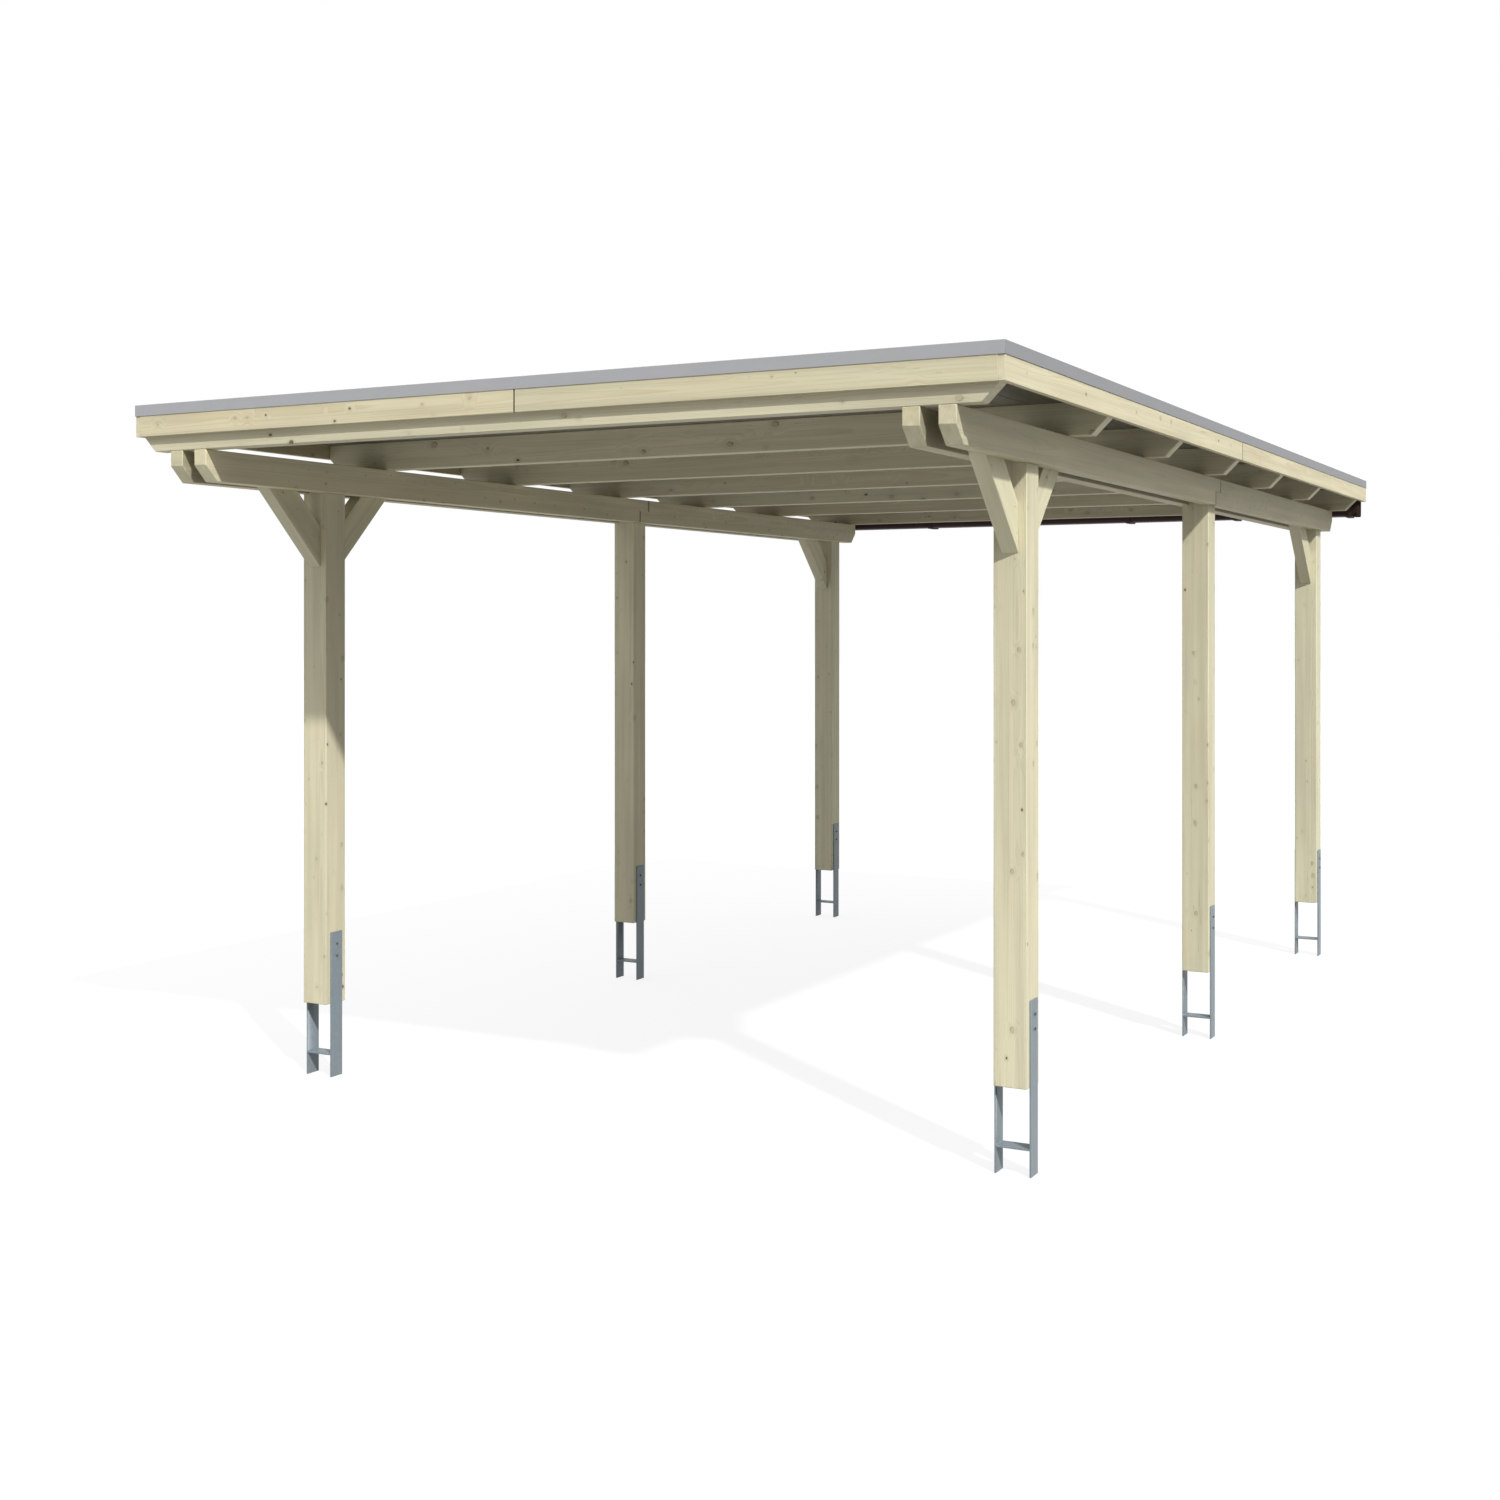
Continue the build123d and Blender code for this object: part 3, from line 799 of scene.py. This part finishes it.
def deck_tree():
    """Chamfered boards side by side, each with its own grain and tone."""
    inputs = {
        "Geometry": ("Geometry",),
        "Int": ("Rows", "Seed"),
        "Float": ("Pitch", "Thickness", "Length", "Groove", "Pith"),
        "Vector": ("Start",),
        "Material": ("Material",),
    }
    w, given, result = new_tree("GeometryNodeTree", "tongue_and_groove", inputs, {"Geometry": ("Geometry",)})

    rectangle = {"Width": given["Pitch"], "Height": given["Thickness"]}
    section = w.first("GeometryNodeCurvePrimitiveQuadrilateral", rectangle, mode="RECTANGLE")
    chamfered = w.first("GeometryNodeFilletCurve", {"Curve": section, "Radius": given["Groove"]}, mode="POLY")
    line = w.first("GeometryNodeCurvePrimitiveLine", {"End": w.combine(0.0, given["Length"])})
    board = w.first("GeometryNodeCurveToMesh", {"Curve": line, "Profile Curve": chamfered, "Fill Caps": True})
    flat = w.first("GeometryNodeSetShadeSmooth", {"Geometry": board, "Shade Smooth": False})

    step = w.combine(given["Pitch"])
    values = {"Count": given["Rows"], "Start Location": given["Start"], "Offset": step}
    row = w.first("GeometryNodeMeshLine", values)
    placed = w.first("GeometryNodeInstanceOnPoints", {"Points": row, "Instance": flat})
    stored = w.store(placed, "place", w.first("GeometryNodeInputPosition"), "INSTANCE")
    tone = w.chance((-1.0, -1.0, 0.0), (1.0, 1.0, STEM_LENGTH), given["Seed"])
    stored = w.store(stored, "tone", tone, "INSTANCE")
    real = w.first("GeometryNodeRealizeInstances", {0: stored})

    position = w.first("GeometryNodeInputPosition")
    local = w.parts(w.vector("SUBTRACT", position, w.stored("place")))
    start = w.parts(w.stored("tone"))[2]
    grain = w.combine(w.plus(local[2], given["Pith"]), local[0], w.plus(local[1], start))
    return w.put_out(w.store(real, "grain", grain, "POINT"), given, result)


# Operators, one for each group of pieces

class PieceOperator:
    """What the operators share."""
    bl_options = {"REGISTER", "UNDO"}


class CARPORT_OT_posts(PieceOperator, bpy.types.Operator):
    """Six square posts with a tongue at the top"""
    bl_idname = "carport.posts"
    bl_label = "Posts"

    tint = (1.02, 1.02, 1.02)

    def execute(self, context):
        pith = context.scene.carport_timber.pith_distance
        material = spruce_material("post_timber_finish", self.tint)
        for place in PLACES:
            for side in SIDES:
                timber("post_" + place + "_" + side, (0, 0, 1), material, "post_timber", pith)
        return {"FINISHED"}


class CARPORT_OT_purlins(PieceOperator, bpy.types.Operator):
    """Paired purlins on the shoulders of the posts"""
    bl_idname = "carport.purlins"
    bl_label = "Purlins"

    # Painted shade: the purlins' spruce is darkened as a whole for the shade under the eaves that the lamps
    # do not give
    tint = (0.875, 0.857, 0.830)

    def execute(self, context):
        pith = context.scene.carport_timber.pith_distance * BEAM_PITH
        material = spruce_material("purlin_timber_finish", self.tint)
        for side, way in zip(SIDES, WAYS):
            # Painted shade on the side of each purlin that faces the narrow gap between the pair
            for layer, gap_side in (("outer", -way), ("inner", way)):
                for end, joined in zip(ENDS, JOINED):
                    timber("purlin_" + side + "_" + layer + "_" + end, (0, 1, 0), material, "beam_timber",
                           pith, 0.0, joined, gap_shade_side=(gap_side, 0, 0))
        return {"FINISHED"}


class CARPORT_OT_braces(PieceOperator, bpy.types.Operator):
    """Braces at 45 degrees between post and purlins"""
    bl_idname = "carport.braces"
    bl_label = "Braces"

    tint = (0.99, 0.99, 0.98)
    kinds = (("front", "forward", -1), ("front", "rearward", 1), ("rear", "forward", -1))

    def execute(self, context):
        pith = context.scene.carport_timber.pith_distance * BEAM_PITH
        material = spruce_material("brace_timber_finish", self.tint)
        for side in SIDES:
            for place, way, lean in self.kinds:
                node = "brace_" + place + "_" + side + "_" + way
                timber(node, (0, lean, 1), material, "beam_timber", pith, 0.0)
        return {"FINISHED"}


class CARPORT_OT_rafters(PieceOperator, bpy.types.Operator):
    """Rafters across both rows"""
    bl_idname = "carport.rafters"
    bl_label = "Rafters"

    tint = (0.955, 0.945, 0.945)
    knot_growth = 1.45
    knot_share = 0.8
    knots_apart = 1.5

    def execute(self, context):
        wood = context.scene.carport_timber
        knots = {
            "Knot Radius": wood.knot_radius * self.knot_growth,
            "Knot Share": self.knot_share,
            "Knot Spacing": wood.knot_spacing * self.knots_apart,
        }
        material = spruce_material("rafter_timber_finish", self.tint, changes=knots)
        for node in RAFTERS:
            timber(node, (1, 0, 0), material, "beam_timber", wood.pith_distance * BEAM_PITH, 0.0)
        return {"FINISHED"}


class CARPORT_OT_fascias(PieceOperator, bpy.types.Operator):
    """Fascia boards on the front and both sides"""
    bl_idname = "carport.fascias"
    bl_label = "Fascias"

    tint = (0.955, 0.925, 0.890)
    knot_growth = 1.1
    fewer_knots = 0.62
    board_pith = 0.6
    board_arris = 0.4
    front_seam = 0.9
    front_pairs = 4
    end_gap = 0.05
    screw_heights = (0.25, 0.68)

    def execute(self, context):
        wood = context.scene.carport_timber
        knots = {
            "Knot Radius": wood.knot_radius * self.knot_growth,
            "Knot Share": wood.knot_share * self.fewer_knots,
        }
        material = spruce_material("fascia_timber_finish", self.tint, changes=knots)
        pith = wood.pith_distance * self.board_pith
        for side, joined, way in zip(SIDES, JOINED, WAYS):
            timber("fascia_front_" + side, (1, 0, 0), material, "fascia_timber", pith, 0.0, joined,
                   seam=self.front_seam, outwards=(0, -1, 0), arris_share=self.board_arris)
            for end, joined in zip(ENDS, JOINED):
                timber("fascia_" + side + "_" + end, (0, 1, 0), material, "fascia_timber", pith, 0.0, joined,
                       outwards=(way, 0, 0), arris_share=self.board_arris)
        steel = screw_material("pale_steel_finish", context.scene.carport_metal.pale_screw, 0.1)
        head = round_shape(wood.fascia_screw, ROUND_HEAD)
        set_fixings("fascia_screws", head, self.screws(wood.swell), steel)
        return {"FINISHED"}

    def screws(self, swell):
        """Two screws into each rafter's end and a row of pairs along the front."""
        places = []
        rafters = [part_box(name) for name in RAFTERS]
        for side, way in zip(SIDES, WAYS):
            for end in ENDS:
                low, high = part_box("fascia_" + side + "_" + end)
                face = (high.x if way > 0 else low.x) + way * swell
                for rafter_low, rafter_high in rafters:
                    y = (rafter_low.y + rafter_high.y) / 2
                    if low.y < y < high.y:
                        places += self.pair(low, high, (face, y), (way, 0, 0))
            low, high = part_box("fascia_front_" + side)
            run = high.x - low.x - 2 * self.end_gap
            for index in range(self.front_pairs):
                x = low.x + self.end_gap + run * index / (self.front_pairs - 1)
                places += self.pair(low, high, (x, low.y - swell), (0, -1, 0))
        return places

    def pair(self, low, high, spot, direction):
        """Two screws above one another on a board."""
        return [((*spot, low.z + share * (high.z - low.z)), direction) for share in self.screw_heights]


class CARPORT_OT_roof_boards(PieceOperator, bpy.types.Operator):
    """Tongue and groove boards under the felt"""
    bl_idname = "carport.roof_boards"
    bl_label = "Roof boards"

    first_seed = 3
    pith = 0.06

    def execute(self, context):
        deck = context.scene.carport_deck
        material = spruce_material("roof_board_timber_finish", early=deck.board, late=deck.board_late)
        low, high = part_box("roof_boards")
        joint_low, joint_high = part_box("rafter_4")
        joint = (joint_low.y + joint_high.y) / 2
        pitch = (high.x - low.x) / deck.rows
        tree = deck_tree()
        boards = bmesh.new()
        for seed, (start, end) in enumerate(((low.y, joint), (joint, high.y)), start=self.first_seed):
            values = {
                "Rows": deck.rows,
                "Pitch": pitch,
                "Thickness": high.z - low.z,
                "Length": end - start,
                "Groove": deck.groove,
                "Start": (low.x + pitch / 2, start, (low.z + high.z) / 2),
                "Pith": self.pith,
                "Material": material,
                "Seed": seed,
            }
            boards.from_mesh(run_tree(tree, bpy.data.meshes.new("no_points"), values, "deck_" + str(seed)))
        new_piece("roof_boards_planks", to_mesh(boards, "roof_boards_planks"), material,
                  "roof_board_timber", "roof_boards")
        return {"FINISHED"}


class CARPORT_OT_roof_felt(PieceOperator, bpy.types.Operator):
    """Roofing felt in lapped strips"""
    bl_idname = "carport.roof_felt"
    bl_label = "Roof felt"

    columns = 60
    sheet = 3 * MM
    rise = 2.8 * MM
    bead = 10 * MM
    wave_height = 0.4 * MM

    def rows(self, low, high, felt):
        """Rows of points from the gutter forwards: place, lift, and whether on a bead and on a lap."""
        rows = []
        edge = high.y
        while edge > low.y:
            stop = max(edge - felt.strip, low.y)
            for reach in (0.0, self.bead, felt.lap, felt.lap * 1.6, 0.45 * felt.strip, felt.strip):
                if edge - reach >= stop - 1e-6:
                    on_bead = 1.0 if reach < self.bead else 0.0
                    on_lap = 1.0 if reach <= felt.lap else 0.0
                    rows.append((edge - reach, self.rise * on_lap, on_bead, on_lap))
            edge = stop
        return rows + [(low.y, 0.0, 0.0, 0.0)]

    def execute(self, context):
        low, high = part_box("roof_felt")
        chance = random.Random("roof_felt")
        phases = [chance.uniform(0, 6.28) for _ in range(4)]
        mesh = bmesh.new()
        lap = []
        grid = []
        for y, lift, bead, lapped in self.rows(low, high, context.scene.carport_felt):
            line = []
            for column in range(self.columns + 1):
                x = low.x + (high.x - low.x) * column / self.columns
                wave = math.sin(2.1 * x + phases[0]) * math.sin(1.3 * y + phases[1])
                wave += 0.5 * math.sin(5.3 * x + phases[2]) * math.sin(3.7 * y + phases[3])
                line.append(mesh.verts.new((x, y, high.z - self.sheet + lift + self.wave_height * wave)))
                lap.append((bead, lapped, 0.0))
            grid.append(line)
        for front, back in zip(grid[1:], grid):
            for column in range(self.columns):
                mesh.faces.new((front[column], front[column + 1], back[column + 1], back[column]))
        bottom = {}
        rim = [edge for edge in mesh.edges if edge.is_boundary]
        for vertex in dict.fromkeys(vertex for edge in rim for vertex in edge.verts):
            bottom[vertex] = mesh.verts.new((vertex.co.x, vertex.co.y, low.z))
            lap.append((0.0, 0.0, 0.0))
        for edge in rim:
            a, b = edge.verts
            mesh.faces.new((a, b, bottom[b], bottom[a]))
        mesh.verts.index_update()
        bmesh.ops.contextual_create(mesh, geom=list(bottom.values()))
        bmesh.ops.recalc_face_normals(mesh, faces=mesh.faces)
        shade_smooth(mesh, below=2)
        data = to_mesh(mesh, "roof_felt_strips")
        set_vectors(data, "lap", "POINT", lap)
        new_piece("roof_felt_strips", data, felt_material(), "roofing_felt", "roof_felt")
        return {"FINISHED"}


class CARPORT_OT_trims(PieceOperator, bpy.types.Operator):
    """Folded sheet metal over the fascias and under the felt's rear edge"""
    bl_idname = "carport.trims"
    bl_label = "Trims"

    # Painted shade: the side trims and drip edge are darker than the front trim, standing in for how the
    # light falls on them
    tones = {"trim_front": 1.0, "trim_left": 0.76, "trim_right": 0.76, "eaves_drip_edge": 0.9}

    def execute(self, context):
        material = trim_material()
        for node, tone in self.tones.items():
            mesh = merged_copy(node)
            soften_edges(mesh, context.scene.carport_metal.fold, sharper_than=40.0)
            data = to_mesh(mesh, node + "_sheet")
            set_vectors(data, "tone", "POINT", [(tone, 0.0, 0.0)] * len(data.vertices))
            new_piece(node + "_sheet", data, material, "trim_metal", node)
        return {"FINISHED"}


class CARPORT_OT_gutter(PieceOperator, bpy.types.Operator):
    """Box gutter with beaded edges, rimmed end caps and brackets"""
    bl_idname = "carport.gutter"
    bl_label = "Gutter"

    wall = 2.5 * MM
    corner = 22 * MM
    curl = 235
    lip_drop = 2.4
    disc_inset = 0.3
    disc_reach = 0.2
    strap_edge = 1.2 * MM
    screw_shares = (0.27, 0.73)

    def under(self, low, high, grow):
        """The outline's lower half, grown outwards, with the middles of its two round corners."""
        corner = self.corner + grow
        front = (low.y - grow + corner, low.z - grow + corner)
        rear = (high.y + grow - corner, low.z - grow + corner)
        return arc(front, corner, 180, 270) + arc(rear, corner, 270, 360), front, rear

    def trough(self, low, high, bead):
        """The gutter's open section with a bead along each top edge."""
        points, front, rear = self.under(low, high, 0.0)
        below_bead = high.z - self.lip_drop * bead
        points = [(low.y, high.z - bead)] + points
        points += arc((high.y - bead, high.z - bead), bead, 0, self.curl, steps=9)
        points.append((high.y - self.wall, below_bead))
        points += self.inside(front, rear, self.corner - self.wall)
        points.append((low.y + self.wall, below_bead))
        return points + arc((low.y + bead, high.z - bead), bead, 180 - self.curl, 180, steps=9)[:-1]

    def rim(self, low, high, rim):
        """The plain section of an end cap's rim round the gutter."""
        points, front, rear = self.under(low, high, rim)
        points = [(low.y - rim, high.z)] + points + [(high.y + rim, high.z), (high.y, high.z)]
        return points + self.inside(front, rear, self.corner) + [(low.y, high.z)]

    def inside(self, front, rear, radius):
        """The inner side of the two round corners."""
        return arc(rear, radius, 360, 270) + arc(front, radius, 270, 180)

    def plate(self, low, high, grow):
        """The outline of an end cap."""
        points = self.under(low, high, grow)[0]
        return points + [(high.y + grow, high.z + grow), (low.y - grow, high.z + grow)]

    def caps(self, low, high, settings):
        """A rim and a disc at each end."""
        cap_low, cap_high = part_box("gutter_end_caps")
        rim = settings.cap_rim
        caps = bmesh.new()
        for outer, inner, sign in ((cap_low.x, low.x, 1), (cap_high.x, high.x, -1)):
            band = sorted((outer, inner + sign * settings.cap_reach))
            join_into(caps, swept_outline(self.rim(low, high, rim), *band))
            disc = sorted((outer + sign * rim * self.disc_inset, inner))
            join_into(caps, swept_outline(self.plate(low, high, rim * self.disc_reach), *disc))
        return to_mesh(caps, "gutter_caps")

    def execute(self, context):
        settings = context.scene.carport_gutter
        slot = "gutter_plastic"
        # The trough's paler and the caps' blacker plastic are painted light and shade on one plastic
        material = plastic_material("gutter_plastic_finish", settings.plastic, 0.1)
        cap_material = plastic_material("gutter_cap_painted_dark_finish", settings.cap_plastic, 0.0)
        low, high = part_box("gutter")
        run = swept_outline(self.trough(low, high, settings.bead), low.x, high.x)
        new_piece("gutter_trough", to_mesh(run, "gutter_trough"), material, slot, "gutter")
        new_piece("gutter_caps", self.caps(low, high, settings), cap_material, slot, "gutter_end_caps")

        brackets = merged_copy("gutter_brackets")
        soften_edges(brackets, self.strap_edge, sharper_than=35.0)
        shade_smooth(brackets, below=30)
        edges = sorted({round(vertex.co.x, 4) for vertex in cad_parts["gutter_brackets"].data.vertices})
        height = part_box("gutter_brackets")[1].z - settings.strap_screw_drop
        places = []
        for left, right in zip(edges[::2], edges[1::2]):
            for share in self.screw_shares:
                places.append(((left + (right - left) * share, low.y, height), (0, 1, 0)))
        new_piece("gutter_straps", to_mesh(brackets, "gutter_straps"), material, slot, "gutter_brackets")
        head = round_shape(settings.strap_screw, ROUND_HEAD)
        set_fixings("gutter_strap_screws", head, places, screw_material())
        return {"FINISHED"}


class CARPORT_OT_anchors(PieceOperator, bpy.types.Operator):
    """Galvanised H anchors with welded bars"""
    bl_idname = "carport.anchors"
    bl_label = "Anchors"

    arris = 0.7 * MM
    bar_drop = 504 * MM
    bar_sheet = 6 * MM
    weld_inset = 3 * MM
    bead_radius = 3.5 * MM
    bead_steps = 34
    bead_ripples = 11
    ripple_height = 0.16
    end_taper = 8
    end_share = 0.25
    screw_drops = (50 * MM, 100 * MM)
    head_height = 4.5 * MM

    def weld(self, start, end, mesh):
        """A rippled weld bead between two points of a plate."""
        rings = []
        for index in range(self.bead_steps + 1):
            share = index / self.bead_steps
            swell = 1.0 + self.ripple_height * math.cos(share * 2 * math.pi * self.bead_ripples)
            taper = min(1.0, self.end_taper * min(share, 1 - share) + self.end_share)
            centre = start + (end - start) * share
            round_ring = arc((centre.x, centre.z), self.bead_radius * swell * taper, 0, 360)[:-1]
            rings.append([(x, centre.y, z) for x, z in round_ring])
        made = skin_rings(mesh, rings)
        for face in made:
            face.smooth = True
        bmesh.ops.recalc_face_normals(mesh, faces=made)

    def execute(self, context):
        material = zinc_material()
        metal = context.scene.carport_metal
        places = []
        for place in PLACES:
            for side in SIDES:
                node = "anchor_" + place + "_" + side
                low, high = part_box(node)
                mesh = merged_copy(node)
                soften_edges(mesh, self.arris, segments=1, sharper_than=60.0, longer_than=4 * MM)
                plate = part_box("post_" + place + "_" + side)[0].x - low.x
                bar_top = high.z - self.bar_drop
                for x in (low.x + plate, high.x - plate):
                    for z in (bar_top, bar_top - self.bar_sheet):
                        ends = (low.y + self.weld_inset, high.y - self.weld_inset)
                        self.weld(*(Vector((x, y, z)) for y in ends), mesh)
                new_piece(node + "_steel", to_mesh(mesh, node + "_steel"), material, "galvanised_steel", node)
                for x, way in zip((low.x, high.x), WAYS):
                    for drop in self.screw_drops:
                        places.append(((x, (low.y + high.y) / 2, high.z - drop), (way, 0, 0)))
        washer = round_shape(metal.washer, WASHER)
        set_fixings("anchor_washers", washer, places, material)
        head = hexagon_head(metal.head_flats, self.head_height)
        bmesh.ops.translate(head, verts=head.verts, vec=(0, 0, metal.washer_sheet))
        set_fixings("anchor_screws", head, places, screw_material())
        return {"FINISHED"}


class CARPORT_OT_stage(PieceOperator, bpy.types.Operator):
    """Camera, sun, sky and a pale floor"""
    bl_idname = "carport.stage"
    bl_label = "Stage"

    picture_rows = 1500
    sensor = 36.0
    sun_width = 1.5
    sky_step = (0.46, 0.54)
    right_step = (1.5, 2.5)
    shadow_share = 0.117
    floor_glow = 0.86
    floor_reach = 80.0

    def execute(self, context):
        stage = context.scene.carport_stage
        scene = context.scene
        camera_data = bpy.data.cameras.new("camera")
        camera_data.sensor_width = self.sensor
        camera_data.lens = stage.lens
        camera_data.shift_y = stage.horizon / self.picture_rows - 0.5
        camera = new_object("camera", camera_data)
        camera.location = stage.place
        camera.rotation_euler = Euler((math.pi / 2, 0, stage.yaw))
        scene.camera = camera

        sun_data = bpy.data.lights.new("sun", "SUN")
        sun_data.energy = stage.sun
        sun_data.angle = math.radians(self.sun_width)
        sun = new_object("sun", sun_data)
        sun.rotation_euler = Vector(stage.sun_from).to_track_quat("Z", "Y").to_euler()

        self.sky(scene, stage)
        self.floor(stage)
        scene.view_settings.view_transform = "Standard"
        return {"FINISHED"}

    def sky(self, scene, stage):
        """A soft sky, brighter overhead, that the camera and reflections see as white."""
        world = bpy.data.worlds.new("sky")
        scene.world = world
        world.use_nodes = True
        w = Wiring(world.node_tree)
        background = world.node_tree.nodes["Background"]
        path = w.node("ShaderNodeLightPath").outputs
        seen = w.math("MAXIMUM", path["Is Camera Ray"], path["Is Transmission Ray"])
        seen = w.math("MAXIMUM", seen, path["Is Glossy Ray"])
        upwards = w.parts(w.node("ShaderNodeTexCoord").outputs["Generated"])[2]
        soft = w.spread(w.step(upwards, *self.sky_step), stage.low_sky, stage.high_sky)
        colour = w.mix(seen, w.shade(stage.sky_tint, soft), opaque([1.0] * 3))
        world.node_tree.links.new(colour, background.inputs["Color"])

    def floor(self, stage):
        """A wide pale floor that keeps a light shadow of the carport."""
        mesh = bmesh.new()
        bmesh.ops.create_grid(mesh, x_segments=1, y_segments=1, size=self.floor_reach)
        floor = new_object("floor", to_mesh(mesh, "floor"))
        material = bpy.data.materials.new("floor_finish")
        material.use_nodes = True
        tree = material.node_tree
        tree.nodes.clear()
        w = Wiring(tree)
        path = w.node("ShaderNodeLightPath").outputs
        across = w.parts(w.point())[0]
        share = w.spread(w.step(across, *self.right_step), stage.ground, stage.right_ground)
        lit = w.first("ShaderNodeBsdfDiffuse", {"Color": w.shade((1.0, 1.0, 1.0), share)})
        shade = w.first("ShaderNodeBsdfDiffuse", {"Color": opaque([self.shadow_share] * 3)})
        pale = w.first("ShaderNodeEmission", {"Color": opaque([1.0] * 3), "Strength": self.floor_glow})
        shown = w.first("ShaderNodeAddShader", {0: shade, 1: pale})
        seen = w.math("MAXIMUM", path["Is Camera Ray"], path["Is Glossy Ray"])
        either = w.first("ShaderNodeMixShader", {0: seen, 1: lit, 2: shown})
        w.node("ShaderNodeOutputMaterial", {"Surface": either})
        floor.data.materials.append(material)


OPERATORS = (
    CARPORT_OT_stage,
    CARPORT_OT_posts,
    CARPORT_OT_purlins,
    CARPORT_OT_braces,
    CARPORT_OT_rafters,
    CARPORT_OT_fascias,
    CARPORT_OT_roof_boards,
    CARPORT_OT_roof_felt,
    CARPORT_OT_trims,
    CARPORT_OT_gutter,
    CARPORT_OT_anchors,
)


class CARPORT_PT_build(bpy.types.Panel):
    """Lists the steps that build the carport's looks"""
    bl_idname = "CARPORT_PT_build"
    bl_label = "Timber carport"
    bl_space_type = "VIEW_3D"
    bl_region_type = "UI"
    bl_category = "Carport"

    def draw(self, context):
        for operator in OPERATORS:
            self.layout.operator(operator.bl_idname)


def register():
    """Adds the settings, operators and panel."""
    for name, settings in SETTINGS.items():
        bpy.utils.register_class(settings)
        setattr(bpy.types.Scene, name, bpy.props.PointerProperty(type=settings))
    for operator in OPERATORS:
        bpy.utils.register_class(operator)
    bpy.utils.register_class(CARPORT_PT_build)


def unregister():
    """Takes the settings, operators and panel away again."""
    bpy.utils.unregister_class(CARPORT_PT_build)
    for operator in reversed(OPERATORS):
        bpy.utils.unregister_class(operator)
    for name, settings in reversed(SETTINGS.items()):
        delattr(bpy.types.Scene, name)
        bpy.utils.unregister_class(settings)


def main():
    """Builds everything in order."""
    register()
    for operator in OPERATORS:
        group, name = operator.bl_idname.split(".")
        getattr(getattr(bpy.ops, group), name)()


if __name__ == "__main__":
    main()
